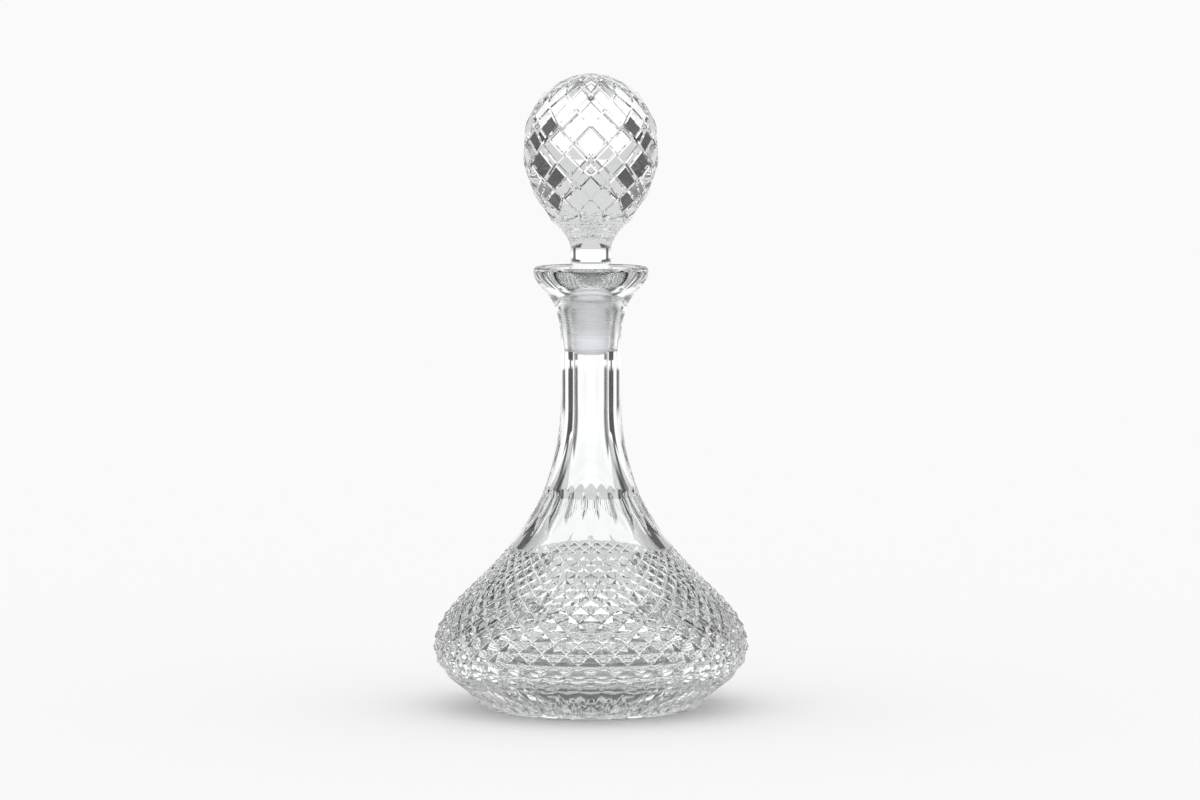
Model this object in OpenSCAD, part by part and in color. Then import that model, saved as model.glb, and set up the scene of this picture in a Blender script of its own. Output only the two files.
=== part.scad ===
// Cut-glass ship's decanter: a broad blown vessel with a thick foot, and a solid ball stopper whose
// ground plug seats in the ground neck. +Z is up, and the origin is the centre of the foot, on the table.

/* [Vessel] */
// Height of the rim above the table
vessel_h = 208.8; // [195:0.1:225]
// Largest diameter, across the points of the cut diamonds
belly_d = 150.1; // [140:0.1:160]
// Height of the largest diameter
belly_z = 27.6; // [25:0.1:32]
// Diameter of the foot, outside its rounded edge
foot_d = 104.6; // [98:0.2:108]
// Radius of the foot's rounded edge
foot_edge_r = 2; // [1.5:0.1:3]
// Outside diameter of the straight neck
neck_d = 28.4; // [27:0.1:31]
// Outside diameter of the flared lip
lip_d = 54.4; // [48:0.1:58]

/* [Glass thickness] */
// Side wall at the largest diameter, to the points of the diamonds
wall_t = 5.5; // [5:0.1:8]
// Base, at its centre
base_t = 10; // [9:0.5:14]
// Depth of the hollow under the foot
foot_hollow_depth = 1.6; // [1:0.1:3]
// Diameter of the hollow under the foot
foot_hollow_d = 76; // [60:1:84]

/* [Ground seat and plug] */
// Diameter of the plug at the top of the ground seat
plug_top_d = 21.2; // [20.6:0.1:21.6]
// Diameter of the plug at its lower end
plug_tip_d = 15.8; // [15.2:0.1:16.2]
// Length of the ground taper
plug_len = 31.2; // [29:0.1:33]
// Height of the top of the ground seat above the table
seat_z = 198.8; // [197:0.1:200]
// Radial gap between the plug and its seat
seat_gap = 0.05; // [0.02:0.01:0.1]
// Diameter of the neck's bore below the seat
bore_d = 16.1; // [15.9:0.1:16.3]

/* [Stopper] */
// Height of the top of the ball above the table, with the stopper seated
ball_top_z = 299.7; // [295:0.1:303]
// Diameter of the ball
ball_d = 64.2; // [58:0.1:66]
// Height of the ball's largest diameter above the table
ball_z = 264.2; // [260:0.1:267]
// Diameter of the shank between the ball and the plug
shank_d = 19.2; // [18:0.1:20]

/* [Hidden] */
$fn = 128;
curve_steps = 14; // straight pieces in each curve of an outline
belly_r = belly_d / 2;
foot_r = foot_d / 2;
foot_top = [foot_r, 1.3]; // top of the foot's rounded edge
bore_top_z = 140; // the bore is straight above this height
neck_r = neck_d / 2;
lip_r = lip_d / 2;
bore_r = bore_d / 2;
ball_r = ball_d / 2;
shank_r = shank_d / 2;
plug_top_r = plug_top_d / 2;
plug_tip_r = plug_tip_d / 2;
taper = (plug_top_r - plug_tip_r) / plug_len; // radius gained for each millimetre up the seat

// Where the outside of the shoulder turns from bulging to hollow
turn_r = 43.3;
turn_z = 71;
// Where the shoulder has narrowed to the straight neck
neck_low_z = 149;
// Where the neck starts to flare, and a point halfway up the flare
flare_z = 171.8;
flare_mid = [19.9, 194.9];
// The inside turns in the same way, one wall further in
inner_turn = [38.9, 67.9];
inner_r = belly_r - wall_t;
seat_top_r = plug_top_r + seat_gap;
seat_low_z = seat_z - (seat_top_r - bore_r) / taper; // where the taper has narrowed to the bore
rim_round = 2.2; // radius of the rim's rounded edge
dish = [lip_r - 3.6, vessel_h - 0.9]; // inner edge of the rim, where the dished mouth begins
plug_low_z = seat_z - plug_len;
plug_edge = 1.2; // height of the bevel round the plug's lower end
plug_end_z = plug_low_z - 0.6; // middle of the plug's domed end
plug_wide_z = seat_z + 6.8; // the plug stays full width up to here
shank_low_z = seat_z + 11.8;
shank_top_z = seat_z + 18.5;
ball_low = [14.3, 226.5]; // where the shank's flare turns into the ball

// Points along one cubic curve, without its last point
function curve(a, b, c, d) = [
    for (i = [0 : curve_steps - 1])
    let (t = i / curve_steps, u = 1 - t)
    u * u * u * a + 3 * u * u * t * b + 3 * u * t * t * c + t * t * t * d
];

// Points along an arc from one angle to another
function arc(centre, r, from, to, steps = 6) = [
    for (i = [0 : steps])
    let (a = from + (to - from) * i / steps)
    centre + r * [cos(a), sin(a)]
];

// Outside of the vessel, from the foot to the rim
function vessel_outside() = concat(
    arc([foot_r - foot_edge_r, foot_edge_r], foot_edge_r, -90, -30),
    curve(foot_top, [63.2, 10], [belly_r, 19.2], [belly_r, belly_z]),
    curve([belly_r, belly_z], [belly_r, 44.2], [59.7, 53.4], [turn_r, turn_z]),
    curve([turn_r, turn_z], [28.3, 87], [neck_r, 110], [neck_r, neck_low_z]),
    curve([neck_r, flare_z], [neck_r, 181], [16.1, 190.1], flare_mid),
    curve(flare_mid, [23, 198.7], [lip_r, 201.8], [lip_r, vessel_h - 2.6]),
    arc([lip_r - rim_round, vessel_h - rim_round], rim_round, 0, 115)
);

// Inside of the vessel, from the rim to the middle of its floor
function vessel_inside() = concat(
    curve(dish, [18.5, vessel_h - 3.6], [13.2, seat_z + 3.4], [seat_top_r + 0.5, seat_z + 0.5]),
    [[seat_top_r, seat_z], [bore_r, seat_low_z]],
    curve([bore_r, bore_top_z], [bore_r, 105], [24.2, 83.5], inner_turn),
    curve(inner_turn, [55, 51.3], [inner_r, 43.4], [inner_r, belly_z + 1.3]),
    curve([inner_r, belly_z + 1.3], [inner_r, 15.5], [47, base_t], [0, base_t]),
    [[0, base_t]]
);

// Underside, from the middle of its shallow hollow out to the ring that stands on the table
function vessel_underside() = concat(
    curve([0, foot_hollow_depth], [16, foot_hollow_depth], [30, 0.8], [foot_hollow_d / 2, 0]),
    [[foot_hollow_d / 2, 0]]
);

module vessel() {
    color("azure")
    rotate_extrude()
    polygon(concat(vessel_underside(), vessel_outside(), vessel_inside()));
}

// Outline of the stopper, from the middle of the plug's domed end to the top of the ball
function stopper_outline() = concat(
    curve([0, plug_end_z], [3, plug_end_z], [5, plug_end_z + 0.3], [plug_tip_r - plug_edge, plug_low_z]),
    [[plug_tip_r - plug_edge, plug_low_z]],
    [[plug_tip_r + taper * plug_edge, plug_low_z + plug_edge]],
    [[plug_top_r, seat_z], [plug_top_r, plug_wide_z]],
    curve([plug_top_r, plug_wide_z], [plug_top_r, plug_wide_z + 2],
        [shank_r, shank_low_z - 2], [shank_r, shank_low_z]),
    [[shank_r, shank_low_z]],
    curve([shank_r, shank_top_z], [shank_r, shank_top_z + 2.2], [10.5, 222.7], ball_low),
    curve(ball_low, [25.5, 238], [ball_r, 248.7], [ball_r, ball_z]),
    curve([ball_r, ball_z], [ball_r, 290], [13, ball_top_z], [0, ball_top_z]),
    [[0, ball_top_z]]
);

module stopper() {
    color("lightblue")
    rotate_extrude()
    polygon(stopper_outline());
}

vessel();
stopper();
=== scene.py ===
# %% [markdown]
# # A cut-glass ship's decanter
#
# A ship's decanter is blown low and wide so that it can't tip over. This one is heavy clear crystal
# in two pieces: the vessel, and a solid ball stopper whose ground plug sits in the ground neck.
# Both are cut all over with diamonds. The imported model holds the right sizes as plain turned
# shapes, so the job here is the cutting and the glass.

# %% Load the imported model
import math
from bisect import bisect_right

import bmesh
import bpy
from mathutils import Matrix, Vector


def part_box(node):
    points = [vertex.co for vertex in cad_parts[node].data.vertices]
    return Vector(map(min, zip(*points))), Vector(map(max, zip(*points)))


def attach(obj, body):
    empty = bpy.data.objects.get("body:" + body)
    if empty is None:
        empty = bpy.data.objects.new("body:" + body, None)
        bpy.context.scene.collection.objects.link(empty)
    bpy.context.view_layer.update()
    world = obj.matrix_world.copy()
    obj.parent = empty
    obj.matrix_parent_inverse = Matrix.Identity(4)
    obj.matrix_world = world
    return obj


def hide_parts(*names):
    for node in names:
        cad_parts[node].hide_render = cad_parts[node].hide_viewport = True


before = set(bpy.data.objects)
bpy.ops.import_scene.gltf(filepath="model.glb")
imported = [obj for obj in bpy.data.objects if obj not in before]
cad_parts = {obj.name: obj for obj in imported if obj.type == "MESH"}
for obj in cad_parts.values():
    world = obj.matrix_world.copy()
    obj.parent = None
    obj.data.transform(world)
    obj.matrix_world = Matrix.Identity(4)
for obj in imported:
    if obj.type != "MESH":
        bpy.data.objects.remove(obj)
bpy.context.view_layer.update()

MM = 0.001  # all the sizes below are in millimetres, and every vertex is scaled by this

# %% [markdown]
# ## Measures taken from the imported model
#
# The turned shapes give the outer sizes: the points of the diamonds touch them, and every cut goes
# inwards from there. Reading them here means that the cut glass always fits the model it replaces.

# %% Read the main sizes
vessel_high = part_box("vessel")[1]
stopper_low, stopper_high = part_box("stopper")
RIM_Z = vessel_high.z / MM  # height of the rim
BELLY_R = vessel_high.x / MM  # largest radius, over the points of the diamonds
PLUG_LOW_Z = stopper_low.z / MM  # lower end of the plug
BALL_TOP_Z = stopper_high.z / MM
BALL_R = stopper_high.x / MM
print("rim", round(RIM_Z, 1), "belly", round(BELLY_R, 1), "ball", round(BALL_R, 1))

# %% [markdown]
# ## The camera
#
# Glass is judged from one place first, so the camera is set before any shape. A long lens, well
# back and a little above the belly, keeps the neck's sides parallel and shows a thin ellipse at
# the lip.

# %% Camera
MIDDLE = Vector((4.3, 0, 145.5)) * MM  # what the lens points at
PITCH = math.radians(4.5)  # how far the camera looks down
DISTANCE = 2.444
camera_data = bpy.data.cameras.new("camera")
camera_data.lens, camera_data.sensor_width = 155, 36
camera = bpy.data.objects.new("camera", camera_data)
bpy.context.scene.collection.objects.link(camera)
back = Vector((0, -math.cos(PITCH), math.sin(PITCH)))
camera.location = MIDDLE + back * DISTANCE
camera.rotation_euler = (-back).to_track_quat("-Z", "Y").to_euler()
bpy.context.scene.camera = camera
print("camera", round(DISTANCE, 2), "m away, lens", camera_data.lens, "mm")

# %% [markdown]
# ## Light for glass
#
# Clear glass has no colour of its own: it shows bent pictures of what is round it. A studio shoots
# it in a bright field, with a white window behind and dark corners to each side, so that every edge
# and facet picks up a dark line. Four windows, one on each side, make the decanter read well from all
# round. High up the windows narrow, and overhead all is bright. Rays from the camera itself see a
# plain pale backdrop, and the floor is lit by an even white, so the windows show in the glass only.

# %% Zones of light
EVEN, BACKDROP = 1.0, 0.955  # light on the floor, and light that the lens sees
MIRRORED = 0.6  # share of the light left in a mirror image, against one seen through the glass
# degrees from the middle of a window, and the light there
WIDE = ((0, 1.1), (36, 1.1), (40, 0.1), (45, 0.01))  # near the horizon
HIGH = ((0, 1.15), (20, 1.15), (24, 0.06), (39, 0.06), (45, 0.4))  # well above it
# NARROW is the windows' light painted on the floor, seen only through the glass
NARROW = ((0, 1.1), (20, 1.1), (25, 0.1), (30, 0.01))  # on the floor, nearer than the windows
OVERHEAD = 1.15
RISE, TOP = (6, 14), (44, 52)  # degrees up over which one zone gives way to the next
print("four windows, bright for", WIDE[1][0], "degrees each side of their middles")

# %% [markdown]
# Light, finishes and the repeated cutting are all trees of nodes, so one short helper adds a node and
# joins it up in a single line. The others turn a direction into an angle, and an angle into light.

# %% Helpers for node trees


def graph(tree):
    """A helper that adds a node, sets its inputs by position and returns it."""

    def add(kind, *inputs, **settings):
        node = tree.nodes.new(kind)
        for name, value in settings.items():
            setattr(node, name, value)
        for place, value in enumerate(inputs):
            if value is None:
                continue
            if isinstance(value, bpy.types.NodeSocket):
                tree.links.new(value, node.inputs[place])
            else:
                node.inputs[place].default_value = value
        return node

    return add


def ramp(add, value, stops):
    """Light along a scale of degrees, from (degrees, light) stops."""
    share = add("ShaderNodeMath", value, math.radians(90), operation="DIVIDE").outputs[0]
    node = add("ShaderNodeValToRGB", share)
    marks = node.color_ramp.elements
    for place, (degrees, light) in enumerate(stops):
        mark = marks[place] if place < 2 else marks.new(degrees / 90)
        mark.position, mark.color = degrees / 90, (light, light, light, 1)
    return node.outputs[0]


def off_window(add, turned):
    """Angle from the middle of the nearest of the four windows."""
    turn = add("ShaderNodeMath", turned[1], turned[0], operation="ARCTAN2").outputs[0]
    return add("ShaderNodeMath", turn, math.pi / 4, operation="PINGPONG").outputs[0]


# %% World
world = bpy.data.worlds.new("studio")
bpy.context.scene.world = world
world.use_nodes = True
world.cycles.sampling_method = "NONE"  # the studio is so even that aimed rays gain nothing
sky = world.node_tree
sky.nodes.clear()
add = graph(sky)


def maths(operation, *inputs):
    return add("ShaderNodeMath", *inputs, operation=operation).outputs[0]


def blend(share, a, b):
    """A number that goes from a to b as share goes from 0 to 1."""
    return add("ShaderNodeMix", share, None, a, b, data_type="FLOAT").outputs[0]


direction = add("ShaderNodeSeparateXYZ", add("ShaderNodeTexCoord").outputs["Generated"]).outputs
off = off_window(add, direction)
climb = maths("ARCSINE", maths("ABSOLUTE", direction[2]))
rise, top = [
    add("ShaderNodeMapRange", climb, math.radians(low), math.radians(high), 0.0, 1.0).outputs[0]
    for low, high in (RISE, TOP)
]
in_glass = blend(rise, ramp(add, off, WIDE), ramp(add, off, HIGH))
in_glass = blend(top, in_glass, OVERHEAD)
rays = add("ShaderNodeLightPath").outputs
mirrored = add("ShaderNodeMapRange", rays["Is Glossy Ray"], 0.0, 1.0, 1.0, MIRRORED).outputs[0]
in_glass = maths("MULTIPLY", in_glass, mirrored)
lights_the_floor = maths("GREATER_THAN", rays["Diffuse Depth"], 0.5)
strength = blend(lights_the_floor, in_glass, EVEN)
strength = blend(rays["Is Camera Ray"], strength, BACKDROP)
light = add("ShaderNodeBackground", (1, 1, 1, 1), strength)
sky.links.new(light.outputs[0], add("ShaderNodeOutputWorld").inputs["Surface"])
scene = bpy.context.scene
scene.view_settings.view_transform = "Standard"
scene.cycles.max_bounces = 24
scene.cycles.transmission_bounces = 24
scene.cycles.glossy_bounces = 12
print("world made of", len(sky.nodes), "nodes")

# %% [markdown]
# ## The floor
#
# A wide pale disc. The camera sees it nearly white, with a soft shadow. The glass sees it by a painted
# light of its own, a glow that only rays through the glass meet: painted shadow under the foot, a
# bright painted ring close round it, and a dim painted ring outside that, which give the lower facets
# their contrast. Further out it carries on the light of the four windows, painted on the floor, for a
# camera that looks down a little sees all of the glass against the floor.

# %% Floor
FLOOR_R, FLOOR_GAP, PALE = 400.0, 0.0002, 0.955
# metres from the decanter's axis, and the painted light on the floor there as the glass sees it; the dark
# under the foot is painted shadow
PAINTED_RINGS = (
    (0.0, 0.1), (0.056, 0.1), (0.062, 1.3), (0.11, 1.3),
    (0.13, 0.12), (0.22, 0.12), (0.3, 1.1), (1.0, 1.1),
)
RINGS_FADE, NARROW_FADE = (0.5, 1.0), (2.5, 2.75)  # metres over which each pattern gives way to the next
bpy.ops.mesh.primitive_circle_add(vertices=96, radius=FLOOR_R, fill_type="NGON")
floor = bpy.context.object
floor.location.z = -FLOOR_GAP
floor.name = "floor"
paint = bpy.data.materials.new("pale_floor_painted_light")
paint.use_nodes = True
tree = paint.node_tree
tree.nodes.clear()
add = graph(tree)
place = add("ShaderNodeTexCoord").outputs["Object"]
away = add("ShaderNodeVectorMath", place, operation="LENGTH").outputs["Value"]
off = off_window(add, add("ShaderNodeSeparateXYZ", place).outputs)
# the ramp reads degrees up to 90, so one metre is written as 90 degrees
scaled = add("ShaderNodeMath", away, math.radians(90), operation="MULTIPLY").outputs[0]
# painted shadow under the foot and painted rings of light round it, by distance from the axis
rings = ramp(add, scaled, [(metres * 90, light) for metres, light in PAINTED_RINGS])
far = add("ShaderNodeMapRange", away, *RINGS_FADE, 0.0, 1.0, interpolation_type="SMOOTHSTEP").outputs[0]
beyond = add("ShaderNodeMapRange", away, *NARROW_FADE, 0.0, 1.0).outputs[0]


def blend_colours(share, a, b):
    return add("ShaderNodeMix", share, None, None, None, None, None, a, b, data_type="RGBA").outputs[2]


# the four windows' light, painted on the far floor
room = blend_colours(beyond, ramp(add, off, NARROW), ramp(add, off, WIDE))
seen = blend_colours(far, rings, room)
# painted light: the floor glows with the painted shadow, rings and windows, only for rays that came
# through the glass
glow = add("ShaderNodeEmission", seen, 1.0)
matt = add("ShaderNodeBsdfDiffuse", (PALE, PALE, PALE, 1))
through_glass = add("ShaderNodeLightPath").outputs["Transmission Depth"]
either = add("ShaderNodeMixShader", through_glass, matt.outputs[0], glow.outputs[0])
tree.links.new(either.outputs[0], add("ShaderNodeOutputMaterial").inputs["Surface"])
floor.data.materials.append(paint)
print("floor", FLOOR_R, "m in radius,", len(PAINTED_RINGS), "marks of light round the foot")

# %% [markdown]
# ## Curves and outlines
#
# Each piece is round, so its shape is an outline turned about the Z axis. The outline is a chain of
# cubic curves, as a mould maker would draw it. A Profile measures along the outline, because the
# cutter's rows of diamonds are spaced along the glass and not by height.

# %% Outline helpers


def cubic(a, b, c, d, steps=24):
    """Points along one cubic curve, the first one left out."""
    points = []
    for i in range(1, steps + 1):
        t = i / steps
        u = 1 - t
        weights = (u**3, 3 * u * u * t, 3 * u * t * t, t**3)
        points.append(tuple(sum(w * p[k] for w, p in zip(weights, (a, b, c, d))) for k in (0, 1)))
    return points


class Profile:
    """An outline of (radius, height) points, read by the distance along it."""

    def __init__(self, points):
        self.points = points
        self.along = [0.0]
        for a, b in zip(points, points[1:]):
            self.along.append(self.along[-1] + math.dist(a, b))
        self.length = self.along[-1]

    def at(self, s):
        """Radius, height and the outward direction at distance s."""
        s = min(max(s, 0.0), self.length)
        i = min(max(bisect_right(self.along, s) - 1, 0), len(self.points) - 2)
        a, b = self.points[i], self.points[i + 1]
        part = (s - self.along[i]) / (self.along[i + 1] - self.along[i])
        slope = [0.0, 0.0]
        for j, share in ((i, 1 - part), (i + 1, part)):  # a smooth direction, from point to point
            p, q = self.points[max(j - 1, 0)], self.points[min(j + 1, len(self.points) - 1)]
            size = math.dist(p, q)
            slope = [slope[k] + share * (q[k] - p[k]) / size for k in (0, 1)]
        size = math.hypot(*slope)
        out = (slope[1] / size, -slope[0] / size)
        return a[0] + (b[0] - a[0]) * part, a[1] + (b[1] - a[1]) * part, out

    def distance_to(self, z):
        """Distance along the outline where it first reaches height z."""
        for i, (a, b) in enumerate(zip(self.points, self.points[1:])):
            if a[1] <= z <= b[1]:
                part = (z - a[1]) / max(b[1] - a[1], 1e-9)
                return self.along[i] + part * (self.along[i + 1] - self.along[i])
        raise ValueError(z)


# %% [markdown]
# ## A wedge of glass
#
# The pattern repeats round the piece, so only one repeat is modelled: a wedge, like a slice of
# cake. Its skin is sewn up from rings of points that run from one side of the wedge to the other.
# Two neighbouring rings may have different numbers of points, because a cut row has more corners
# than a plain one, so the sewing walks along both at once and always takes the nearer next point.

# %% Wedge


class Wedge:
    """One repeat of a piece. A corner is a pair: its turn, -1 to 1 across the wedge, and its vertex."""

    def __init__(self, repeats):
        self.mesh = bmesh.new()
        self.half = math.pi / repeats
        self.ground = self.mesh.faces.layers.bool.new("ground")

    def point(self, turn, r, z):
        """A corner at the given share of the wedge's half angle, -1 to 1, from the front."""
        angle = turn * self.half
        return turn, self.mesh.verts.new((r * math.sin(angle) * MM, -r * math.cos(angle) * MM, z * MM))

    def on(self, profile, turn, s, sink=0.0):
        """A corner on the outline at distance s, sunk into the glass."""
        r, z, out = profile.at(s)
        return self.point(turn, r - out[0] * sink, z - out[1] * sink)

    def ring(self, r, z, steps):
        """A plain ring, or one point where the radius is nothing."""
        if r < 1e-6:
            return [self.point(0, 0, z)]
        return [self.point(2 * i / steps - 1, r, z) for i in range(steps + 1)]

    def face(self, corners, ground=False, smooth=True):
        face = self.mesh.faces.new([corner[1] for corner in corners])
        face[self.ground] = ground
        face.smooth = smooth
        return face

    def sew(self, low, high, ground=False, smooth=True):
        """Faces between two rings."""
        i = j = 0
        while i < len(low) - 1 or j < len(high) - 1:
            next_low = low[i + 1][0] if i < len(low) - 1 else math.inf
            next_high = high[j + 1][0] if j < len(high) - 1 else math.inf
            if abs(next_low - next_high) < 1e-6:
                self.face([low[i], low[i + 1], high[j + 1], high[j]], ground, smooth)
                i, j = i + 1, j + 1
            elif next_low < next_high:
                self.face([low[i], low[i + 1], high[j]], ground, smooth)
                i += 1
            else:
                self.face([low[i], high[j + 1], high[j]], ground, smooth)
                j += 1

    def turned(self, first, outline, steps, ground=False):
        """Plain turned skin from a ring through each point of an outline. Gives the last ring."""
        for r, z in outline:
            ring = self.ring(r, z, steps)
            self.sew(first, ring, ground)
            first = ring
        return first

    def finish(self, name):
        bmesh.ops.remove_doubles(self.mesh, verts=self.mesh.verts, dist=2e-6)
        data = bpy.data.meshes.new(name)
        self.mesh.to_mesh(data)
        self.mesh.free()
        return data


# %% [markdown]
# ## Cutting the diamonds
#
# The cutter runs V-shaped grooves round the glass in two slanting families. Where they cross they
# leave diamonds, whose middles are the last of the uncut surface. On a grid of half steps, a groove
# crossing lies wherever the column and row numbers add up one way, and the middle of a diamond
# wherever they add up the other way. So each diamond is built about its middle: four sloping faces,
# or four that lie flat together, and round them the narrow sides of the grooves.

# %% Diamonds


def sample(values, place):
    """A value between the members of a list."""
    i = min(int(place), len(values) - 2)
    return values[i] + (values[i + 1] - values[i]) * (place - i)


def cut_diamonds(wedge, skin, rows, columns, share, first, depths):
    """Diamonds on the skin between rows of distances, columns half steps each side of the middle.

    share is a groove's half width over half a diamond, and first is 0 where the lowest row has a
    diamond's middle at the wedge's middle, or 1 where it has a crossing. depths are three functions
    of the row: how far the middle, the groove's edge and the groove's bottom lie under the skin.
    Gives the lowest and the highest row of corners. A diamond there is cut in half."""
    middle_depth, edge_depth, groove_depth = depths
    last = len(rows) - 1
    corners = {}

    def corner(column, row, depth):
        if (column, row) not in corners:
            corners[column, row] = wedge.on(skin, column / columns, sample(rows, row), depth(row))
        return corners[column, row]

    for row in range(last + 1):
        for column in range(-columns, columns + 1):
            if (column + row + first) % 2:
                continue
            tip = corner(column, row, middle_depth)
            for across, up in ((1, 1), (1, -1), (-1, 1), (-1, -1)):
                if abs(column + across) > columns or not 0 <= row + up <= last:
                    continue
                side = corner(column + across, row, groove_depth)
                end = corner(column, row + up, groove_depth)
                near_side = corner(column + across * (1 - share), row, edge_depth)
                near_end = corner(column, row + up * (1 - share), edge_depth)
                for face in ([tip, near_side, near_end], [near_side, side, end, near_end]):
                    wedge.face(face if across * up > 0 else face[::-1], smooth=False)
    ends = []
    for end in (0, last):
        ring = [corner for (_, row), corner in corners.items() if row == end]
        ends.append(sorted(ring, key=lambda corner: corner[0]))
    return ends


# %% [markdown]
# ## The vessel's outlines
#
# The outside runs from the foot, round the belly, up the shoulder and the neck to the flared lip.
# The inside follows it one wall further in. The neck's mouth is ground to a taper that matches
# the plug, and the mouth above it is dished so that the last drop runs back in.

# %% Outlines of the vessel
FOOT_R, FOOT_EDGE, HOLLOW_R, HOLLOW_DEPTH = 50.3, (52.3, 1.3), 38.0, 1.6
BELLY_Z, WALL_T, BASE_T = 27.6, 5.5, 10.0
TURN, INNER_TURN = (43.3, 71.0), (38.9, 67.9)  # where the shoulder turns from bulging to hollow
NECK_R, NECK_LOW_Z, FLARE_Z, FLARE_MID = 14.2, 149.0, 171.8, (19.9, 194.9)
LIP_R, BORE_R = 27.2, 8.05
SEAT_TOP_R, SEAT_Z, SEAT_LOW_Z = 10.65, 198.8, 168.8
INNER_R = BELLY_R - WALL_T


# each curve is four control points, as (radius, height)
HOLLOW = ((0, HOLLOW_DEPTH), (16, HOLLOW_DEPTH), (30, 0.8), (HOLLOW_R, 0))
FOOT_RIM = ((FOOT_R - 0.5, 0), (FOOT_R, 0.05), (51.3, 0.3), (51.9, 0.7), FOOT_EDGE)  # points, not a curve
UNDER_BELLY = (FOOT_EDGE, (63.2, 10.0), (BELLY_R, 19.2), (BELLY_R, BELLY_Z))
OVER_BELLY = ((BELLY_R, BELLY_Z), (BELLY_R, 44.2), (59.7, 53.4), TURN)
SHOULDER = (TURN, (28.3, 87), (NECK_R, 110), (NECK_R, NECK_LOW_Z))
FLARE = ((NECK_R, FLARE_Z), (NECK_R, 181), (16.1, 190.1), FLARE_MID)
LIP = (FLARE_MID, (23, 198.7), (LIP_R, 201.8), (LIP_R, RIM_Z - 2.6))
LIP_ROUND, LIP_SWEEP = 2.2, 115  # radius of the lip's edge, and the degrees that it turns through
DISH = (
    (LIP_R - 3.6, RIM_Z - 0.9), (18.5, RIM_Z - 3.6),
    (13.2, SEAT_Z + 3.4), (SEAT_TOP_R + 0.5, SEAT_Z + 0.5),
)
INSIDE = (
    ((BORE_R, SEAT_LOW_Z), (BORE_R, 160), (BORE_R, 150), (BORE_R, 140)),
    ((BORE_R, 140), (BORE_R, 105), (24.2, 83.5), INNER_TURN),
    (INNER_TURN, (55, 51.3), (INNER_R, 43.4), (INNER_R, BELLY_Z + 1.3)),
    ((INNER_R, BELLY_Z + 1.3), (INNER_R, 15.5), (47, BASE_T), (0, BASE_T)),
)

skin_points = [FOOT_EDGE] + cubic(*UNDER_BELLY) + cubic(*OVER_BELLY, 40) + cubic(*SHOULDER, 60)
body_skin = Profile(skin_points)
print("outline from foot to neck:", round(body_skin.length, 1), "mm")

# %% [markdown]
# ## Rows of diamonds on the body
#
# Forty diamonds go round. To keep them square as the body narrows, each half row is as tall as the
# half column is wide there, so the rows close up towards the shoulder. Under the belly the same
# grooves run on to the foot, and the diamonds there are drawn out into long slivers.

# %% Spacing of the rows
ROUND, REPEATS = 40, 20  # diamonds round the body, and flutes, each two diamonds wide
HALF_COLUMN = math.pi / ROUND
PROPORTION = 0.96  # height of a diamond over its width
GROOVE = 0.24  # depth of a groove over half a diamond's width
FIELD_TOP_Z = 75.0  # the diamonds stop here, under the flutes
SLIVERS = (FOOT_EDGE[1] + 0.3, 14.6, 21.3, 28.0)  # heights of the long rows under the belly
SLIVER_SINK = 1.1  # depth of the grooves where they run out at the foot
FLAT = 0.09  # half width of a groove's polished flat, over half a diamond

rows = [body_skin.distance_to(z) for z in SLIVERS]
field_top = body_skin.distance_to(FIELD_TOP_Z)
while rows[-1] < field_top:
    radius = body_skin.at(rows[-1])[0]
    rows.append(rows[-1] + PROPORTION * radius * HALF_COLUMN)
sinks = [GROOVE * body_skin.at(s)[0] * HALF_COLUMN for s in rows]
sinks[0] = SLIVER_SINK
print(len(rows), "rows, at heights", [round(body_skin.at(s)[1], 1) for s in rows])
print("groove depths:", [round(s, 2) for s in sinks])

# %% [markdown]
# ## Flutes on the shoulder
#
# Above the diamonds, twenty hollow flutes run up to the neck. A round wheel cuts them: each is a
# shallow trough, widest in the middle, rounded where the wheel lifts off at the top and pointed
# where it runs out between the diamonds.

# %% Depth of the cuts on the shoulder
FLUTE_TOP_Z, FLUTE_FULL_Z, SPEAR_Z, FLUTE_LOW_Z = 104.5, 101.0, 93.0, 80.0  # heights from end to end
FLUTE_DEPTH = 1.25
WIDEST = 1.12  # half width of a flute over half the spacing; over 1, neighbours meet in a ridge


def flute_width(z):
    """Half width of the trough at a height, over half the spacing of the flutes."""
    if z > FLUTE_FULL_Z:
        return WIDEST * math.sqrt(max(0.0, (FLUTE_TOP_Z - z) / (FLUTE_TOP_Z - FLUTE_FULL_Z)))
    if z > SPEAR_Z:
        return WIDEST - (WIDEST - 1) * (FLUTE_FULL_Z - z) / (FLUTE_FULL_Z - SPEAR_Z)
    return max(0.0, (z - FLUTE_LOW_Z) / (SPEAR_Z - FLUTE_LOW_Z))


def flute_sink(turn, z):
    return FLUTE_DEPTH * max(0.0, flute_width(z) ** 2 - turn * turn)


print("a flute's middle is", round(flute_sink(0, FLUTE_FULL_Z), 2), "mm deep at its widest")


# %% [markdown]
# ## Building the vessel's wedge
#
# From the middle of the foot outwards and up: the star-cut hollow, the ring that stands on the
# table, the diamonds, the flutes, the plain neck and the lip. Then down the inside to its bottom.

# %% The vessel's wedge, from under the foot to the top row of diamonds
FLUTE_STEPS, PLAIN_STEPS, INNER_STEPS = 24, 12, 8  # faces across the wedge
STAR_DEPTH = 0.9  # of the star under the foot, at its middle
SHOULDER_STEP = 0.7  # height of the faces on the shoulder
LIP_STEPS, SEAT_STEPS = 8, 6
wedge = Wedge(REPEATS)

ring = wedge.ring(0, HOLLOW_DEPTH, 1)
for r, z in cubic(*HOLLOW, 8):
    ray = STAR_DEPTH * max(0.0, 1 - r / HOLLOW_R)
    new = [wedge.point(t / 2, r, z + (ray if t % 2 == 0 else 0)) for t in range(-2, 3)]
    wedge.sew(ring, new, smooth=False)
    ring = new
ring = wedge.turned(ring, FOOT_RIM, PLAIN_STEPS)


def flush(row):
    return 0.0


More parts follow.
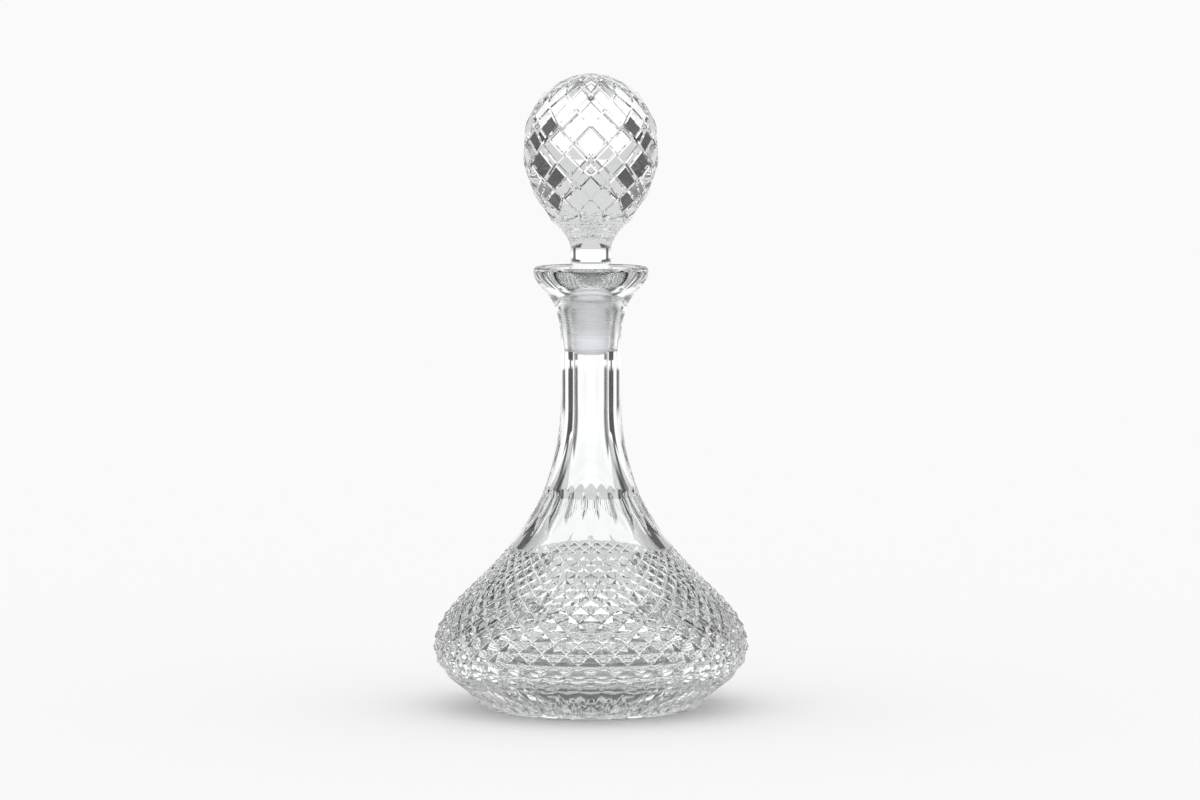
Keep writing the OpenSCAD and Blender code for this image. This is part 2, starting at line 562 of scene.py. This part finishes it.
def groove(row):
    return sample(sinks, row)


low, high = cut_diamonds(wedge, body_skin, rows, ROUND // REPEATS, FLAT, 1, (flush, groove, groove))
wedge.sew(ring, low, smooth=False)
print("cut up to here:", len(wedge.mesh.faces), "faces")

# %% The flutes on the shoulder, on a fine grid
ring = high
shoulder_top = body_skin.distance_to(FLUTE_TOP_Z + 1.5)
count = int((shoulder_top - rows[-1]) / SHOULDER_STEP) + 1
turns = [2 * i / FLUTE_STEPS - 1 for i in range(FLUTE_STEPS + 1)]
for k in range(1, count + 1):
    here = rows[-1] + (shoulder_top - rows[-1]) * k / count
    z = body_skin.at(here)[1]
    new = [wedge.on(body_skin, t, here, flute_sink(t, z)) for t in turns]
    wedge.sew(ring, new)
    ring = new
print(count, "rows of faces up the flutes")

# %% The neck and the lip
upper = [(r, z) for r, z in skin_points if z > FLUTE_TOP_Z + 3][::2]
upper += cubic(*FLARE, 12) + cubic(*LIP, 12)
for k in range(LIP_STEPS + 1):
    angle = math.radians(LIP_SWEEP * k / LIP_STEPS)
    out, up = LIP_ROUND * math.cos(angle), LIP_ROUND * math.sin(angle)
    upper.append((LIP_R - LIP_ROUND + out, RIM_Z - LIP_ROUND + up))
upper += [DISH[0]] + cubic(*DISH, 14)
ring = wedge.turned(ring, upper, PLAIN_STEPS)
print("highest point", round(max(z for r, z in upper), 1), "mm")

# %% The ground seat, then the clear inside down to its bottom
seat = []
for k in range(SEAT_STEPS + 1):
    part = k / SEAT_STEPS
    seat.append((SEAT_TOP_R + (BORE_R - SEAT_TOP_R) * part, SEAT_Z + (SEAT_LOW_Z - SEAT_Z) * part))
ring = wedge.turned(ring, seat, PLAIN_STEPS, ground=True)
inside = []
for curve, steps in zip(INSIDE, (6, 24, 20, 24)):
    inside += cubic(*curve, steps)
wedge.turned(ring, inside, INNER_STEPS)
vessel_wedge = wedge.finish("vessel_wedge")
print("vessel wedge:", len(vessel_wedge.polygons), "faces")

# %% [markdown]
# ## Turning a wedge into the whole piece
#
# Geometry Nodes places a copy of the wedge at each step round the axis, makes the copies real,
# welds their edges and gives the glass its finish. One tree serves both pieces: the number of
# repeats and the finishes are its inputs.

# %% The tree that repeats a wedge
turning = bpy.data.node_groups.new("turn_round_axis", "GeometryNodeTree")
turning.is_modifier = True
sockets = turning.interface
sockets.new_socket("Wedge", in_out="INPUT", socket_type="NodeSocketGeometry")
repeats_in = sockets.new_socket("Repeats", in_out="INPUT", socket_type="NodeSocketInt")
weld_in = sockets.new_socket("Weld distance", in_out="INPUT", socket_type="NodeSocketFloat")
clear_in = sockets.new_socket("Clear finish", in_out="INPUT", socket_type="NodeSocketMaterial")
ground_in = sockets.new_socket("Ground finish", in_out="INPUT", socket_type="NodeSocketMaterial")
sockets.new_socket("Piece", in_out="OUTPUT", socket_type="NodeSocketGeometry")

add = graph(turning)
given = add("NodeGroupInput").outputs
points = add("GeometryNodePoints", given["Repeats"])
place = add("GeometryNodeInputIndex").outputs[0]
step_angle = add("ShaderNodeMath", 2 * math.pi, given["Repeats"], operation="DIVIDE").outputs[0]
angle = add("ShaderNodeMath", place, step_angle, operation="MULTIPLY").outputs[0]
rotation = add("ShaderNodeCombineXYZ", None, None, angle).outputs[0]
copies = add("GeometryNodeInstanceOnPoints")
turning.links.new(points.outputs[0], copies.inputs["Points"])
turning.links.new(given["Wedge"], copies.inputs["Instance"])
turning.links.new(rotation, copies.inputs["Rotation"])
real = add("GeometryNodeRealizeInstances", copies.outputs[0]).outputs[0]
welded = add("GeometryNodeMergeByDistance")
turning.links.new(real, welded.inputs["Geometry"])
turning.links.new(given["Weld distance"], welded.inputs["Distance"])
clear = add("GeometryNodeSetMaterial")
turning.links.new(welded.outputs[0], clear.inputs["Geometry"])
turning.links.new(given["Clear finish"], clear.inputs["Material"])
is_ground = add("GeometryNodeInputNamedAttribute", "ground", data_type="BOOLEAN").outputs["Attribute"]
frosted = add("GeometryNodeSetMaterial")
turning.links.new(clear.outputs[0], frosted.inputs["Geometry"])
turning.links.new(is_ground, frosted.inputs["Selection"])
turning.links.new(given["Ground finish"], frosted.inputs["Material"])
turning.links.new(frosted.outputs[0], add("NodeGroupOutput").inputs[0])
print("tree of", len(turning.nodes), "nodes")

# %% A wedge made whole
WELD = 4e-6  # metres


def whole_piece(name, wedge_mesh, repeats, clear_finish, ground_finish, crease):
    """The finished piece from its wedge, as a plain mesh with outward faces and crisp edges."""
    blank = bpy.data.objects.new(name + "_blank", wedge_mesh)
    bpy.context.scene.collection.objects.link(blank)
    modifier = blank.modifiers.new("turn", "NODES")
    modifier.node_group = turning
    modifier[repeats_in.identifier] = repeats
    modifier[weld_in.identifier] = WELD
    modifier[clear_in.identifier] = clear_finish
    modifier[ground_in.identifier] = ground_finish
    evaluated = blank.evaluated_get(bpy.context.evaluated_depsgraph_get())
    data = bpy.data.meshes.new_from_object(evaluated)
    blank.modifiers.clear()
    bpy.data.objects.remove(blank)
    data.name = name
    tidy = bmesh.new()
    tidy.from_mesh(data)
    bmesh.ops.dissolve_degenerate(tidy, dist=1e-7, edges=tidy.edges)
    bmesh.ops.triangulate(tidy, faces=[f for f in tidy.faces if len(f.verts) > 4])
    bmesh.ops.recalc_face_normals(tidy, faces=tidy.faces)
    loose = sum(1 for e in tidy.edges if len(e.link_faces) != 2)
    volume = tidy.calc_volume(signed=True)
    tidy.to_mesh(data)
    tidy.free()
    for polygon in data.polygons:
        polygon.use_smooth = True
    data.set_sharp_from_angle(angle=math.radians(crease))
    piece = bpy.data.objects.new(name, data)
    bpy.context.scene.collection.objects.link(piece)
    print(name, len(data.polygons), "faces,", loose, "open edges,", round(volume * 1e6, 1), "ml of glass")
    return piece


# %% [markdown]
# ## Crystal
#
# Lead crystal is clear, with a little more bend to its light than window glass. The acid polish
# leaves very faint waves in it. The plug and its seat are ground round and round on a wheel, so their
# frosting has fine level lines.

# %% Finishes
LEAD_GLASS = 1.54  # how strongly it bends light
WAVES, WAVE_STRENGTH, WAVE_HEIGHT = 90.0, 0.03, 0.0004  # how close they are, then how strong
GRINDING = (30, 30, 2500)  # noise squeezed flat into level lines
LINE_STRENGTH, LINE_HEIGHT = 0.25, 0.0001
FROST = (0.18, 0.3)  # roughness between and on the lines
CREASE = 9  # degrees between faces, over which an edge is crisp


def crystal(name):
    material = bpy.data.materials.new(name)
    material.use_nodes = True
    tree = material.node_tree
    add = graph(tree)
    shader = tree.nodes["Principled BSDF"]
    shader.inputs["Base Color"].default_value = (0.985, 0.992, 0.995, 1)
    shader.inputs["Transmission Weight"].default_value = 1.0
    shader.inputs["Roughness"].default_value = 0.0
    shader.inputs["IOR"].default_value = LEAD_GLASS
    place = add("ShaderNodeTexCoord").outputs["Object"]
    waves = add("ShaderNodeTexNoise")
    tree.links.new(place, waves.inputs["Vector"])
    waves.inputs["Scale"].default_value = WAVES
    bump = add("ShaderNodeBump")
    bump.inputs["Strength"].default_value = WAVE_STRENGTH
    bump.inputs["Distance"].default_value = WAVE_HEIGHT
    tree.links.new(waves.outputs[0], bump.inputs["Height"])
    tree.links.new(bump.outputs[0], shader.inputs["Normal"])
    return material


def ground_glass(name):
    material = bpy.data.materials.new(name)
    material.use_nodes = True
    tree = material.node_tree
    add = graph(tree)
    shader = tree.nodes["Principled BSDF"]
    shader.inputs["Base Color"].default_value = (0.97, 0.98, 1.0, 1)
    shader.inputs["Transmission Weight"].default_value = 1.0
    shader.inputs["IOR"].default_value = LEAD_GLASS
    place = add("ShaderNodeTexCoord").outputs["Object"]
    stretch = add("ShaderNodeMapping")
    tree.links.new(place, stretch.inputs["Vector"])
    stretch.inputs["Scale"].default_value = GRINDING
    lines = add("ShaderNodeTexNoise")
    tree.links.new(stretch.outputs[0], lines.inputs["Vector"])
    lines.inputs["Scale"].default_value = 1.0
    rough = add("ShaderNodeMapRange", lines.outputs[0], 0.3, 0.7, *FROST).outputs[0]
    tree.links.new(rough, shader.inputs["Roughness"])
    bump = add("ShaderNodeBump")
    bump.inputs["Strength"].default_value = LINE_STRENGTH
    bump.inputs["Distance"].default_value = LINE_HEIGHT
    tree.links.new(lines.outputs[0], bump.inputs["Height"])
    tree.links.new(bump.outputs[0], shader.inputs["Normal"])
    return material


vessel_crystal = crystal("vessel_crystal")
stopper_crystal = crystal("stopper_crystal")
frosted_ground = ground_glass("frosted_ground_glass")

vessel = whole_piece("cut_vessel", vessel_wedge, REPEATS, vessel_crystal, frosted_ground, CREASE)

# %% [markdown]
# ## The stopper
#
# A solid ball on a short shank, with twelve diamonds round it. These are larger than the body's and
# cut flat, so only their corners touch the round outline. The plug below is ground to a taper, and is
# left frosted so that it grips.

# %% The stopper's outline
BALL_Z, CROSSING_Z = 264.2, 267.0  # heights of the widest place, and of a row of groove crossings
BALL_LOW = (14.3, 226.5)
COLLAR = ((18.9, 230.6), (17.6, 229.2), (16.2, 228.2))  # the plain band under the diamonds
SHANK_R, SHANK_TOP_Z, SHANK_LOW_Z = 9.6, 217.3, 210.6
PLUG_TOP_R, PLUG_TIP_R, PLUG_TOP_Z = 10.6, 7.9, 205.6
BALL_UNDER = (BALL_LOW, (25.5, 238), (BALL_R, 248.7), (BALL_R, BALL_Z))
BALL_OVER = ((BALL_R, BALL_Z), (BALL_R, 290), (13, BALL_TOP_Z), (0, BALL_TOP_Z))
SHANK_UP = (COLLAR[-1], (12.8, 225.4), (SHANK_R, 220), (SHANK_R, SHANK_TOP_Z))
SHANK_DOWN = ((SHANK_R, SHANK_LOW_Z), (SHANK_R, 208.6), (PLUG_TOP_R, 207.6), (PLUG_TOP_R, PLUG_TOP_Z))
TIP = (
    (PLUG_TIP_R - 1.6, PLUG_LOW_Z + 0.5), (5, PLUG_LOW_Z + 0.2), (3, PLUG_LOW_Z), (0, PLUG_LOW_Z),
)
ball_skin = Profile([BALL_LOW] + cubic(*BALL_UNDER, 40) + cubic(*BALL_OVER, 60))
print("outline of the ball:", round(ball_skin.length, 1), "mm along the glass")

# %% The diamonds on the ball
BALL_ROUND = 12
HALF_ROW, ROWS_UNDER, ROWS_OVER = 8.75, 4, 5  # height of half a diamond along the glass, and their count
GROOVE_SHARE = 0.12  # half width of a groove, over the distance from a diamond's middle to its corner
GROOVE_DEPTH = 0.5
STAR_S = 2.2  # from the top, along the glass, to the ring where the closing star begins
STOPPER_STEPS = 12
middle = ball_skin.distance_to(CROSSING_Z)
ball_rows = [middle + k * HALF_ROW for k in range(-ROWS_UNDER, ROWS_OVER + 1)]
print("ball rows at", [round(ball_skin.at(s)[1], 1) for s in ball_rows])


def flat_middle(row):
    """How far the middle of a flat diamond lies under the round outline."""
    r, z, out = ball_skin.at(ball_rows[row])
    low = ball_skin.at(ball_rows[max(row - 1, 0)])
    high = ball_skin.at(ball_rows[min(row + 1, len(ball_rows) - 1)])
    chord = ((low[0] + high[0]) / 2, (low[1] + high[1]) / 2)
    upright = (r - chord[0]) * out[0] + (z - chord[1]) * out[1]
    sideways = r * (1 - math.cos(math.pi / BALL_ROUND)) * out[0]
    return max(0.0, (upright + sideways) / 2) * (1 - GROOVE_SHARE) ** 2


def groove_bottom(row):
    return GROOVE_DEPTH


wedge = Wedge(BALL_ROUND)
depths = (flat_middle, flush, groove_bottom)
low, high = cut_diamonds(wedge, ball_skin, ball_rows, 1, GROOVE_SHARE, 0, depths)

# the top, a small star that closes the ball
top = [wedge.on(ball_skin, t, ball_skin.length - STAR_S) for t in (-1, 0, 1)]
wedge.sew(high, top, smooth=False)
wedge.sew(top, wedge.ring(0, BALL_TOP_Z, 1), smooth=False)

# %% The collar, the shank and the plug
collar = wedge.ring(*COLLAR[0], STOPPER_STEPS)
wedge.sew(collar, low, smooth=False)
down = list(COLLAR[1:]) + cubic(*SHANK_UP, 12)
down += [(SHANK_R, 214), (SHANK_R, SHANK_LOW_Z)] + cubic(*SHANK_DOWN, 6)
ring = wedge.turned(collar, down, STOPPER_STEPS)

# ground to a taper, with a rounded tip
taper = (PLUG_TOP_R - PLUG_TIP_R) / (SEAT_Z - PLUG_LOW_Z)
plug = [(PLUG_TOP_R - taper * k, SEAT_Z - k) for k in range(0, 30, 5)]
plug.append((PLUG_TIP_R + taper * 1.8, PLUG_LOW_Z + 1.8))
plug += [(PLUG_TIP_R - 0.4, PLUG_LOW_Z + 0.9), TIP[0]]
ring = wedge.turned(ring, plug, STOPPER_STEPS, ground=True)
wedge.turned(ring, cubic(*TIP, 6), STOPPER_STEPS, ground=True)
stopper_wedge = wedge.finish("stopper_wedge")
stopper = whole_piece("cut_stopper", stopper_wedge, BALL_ROUND, stopper_crystal, frosted_ground, CREASE)

# %% [markdown]
# ## Joining the pieces to the model
#
# Each cut piece stands in for the plain turned shape of the same part and moves with its body: the
# vessel stands still, and the stopper lifts out of the neck. Nothing else of the CAD stays in sight.

# %% Ride and replace
for piece, node in ((vessel, "vessel"), (stopper, "stopper")):
    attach(piece, node)
    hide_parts(node)
    print(piece.name, "rides on", node)
